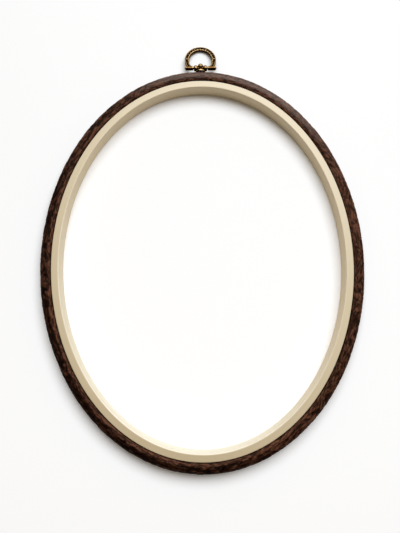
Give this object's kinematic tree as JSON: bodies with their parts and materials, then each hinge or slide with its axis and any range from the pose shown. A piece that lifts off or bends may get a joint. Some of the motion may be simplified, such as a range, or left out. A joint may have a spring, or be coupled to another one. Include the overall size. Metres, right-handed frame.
{
  "type": "embroidery hoop",
  "caption": "Oval screwless embroidery hoop and display frame: a rigid cream inner ring in a flexible wood-look outer ring, with a swinging antique brass hanging bail.",
  "frame": {"origin": "middle of the footprint, on the surface that the hoop lies on", "axes": "+Z out of the front of the hoop, +Y towards the hanger, X across the hoop"},
  "size_m": [0.203, 0.2756, 0.0099],
  "materials": {
    "wood_look_vinyl": "dark brown flexible vinyl moulded with a wood-bark grain, satin",
    "cream_plastic": "cream moulded plastic, semi-gloss, with fine lines along the ring",
    "antique_brass": "antique brass casting, dark in the recesses and rubbed bright on the high spots"
  },
  "bodies": {
    "outer_hoop_body": {"outer_hoop": "wood_look_vinyl", "hanger_post": "antique_brass", "dome_washer": "antique_brass"},
    "inner_hoop_body": {"inner_hoop": "cream_plastic"},
    "bail_body": {"hanger_bail": "antique_brass", "hinge_pin": "antique_brass"}
  },
  "joints": [
    {"name": "bail_swing", "type": "hinge", "parent": "outer_hoop_body", "child": "bail_body", "pos_m": [0, 0.11978, 0.005], "axis": [1, 0, 0], "range_deg": [-118, 142]},
    {"name": "inner_hoop_lift", "type": "slide", "parent": "outer_hoop_body", "child": "inner_hoop_body", "axis": [0, 0, 1], "range_m": [0, 0.025]}
  ]
}
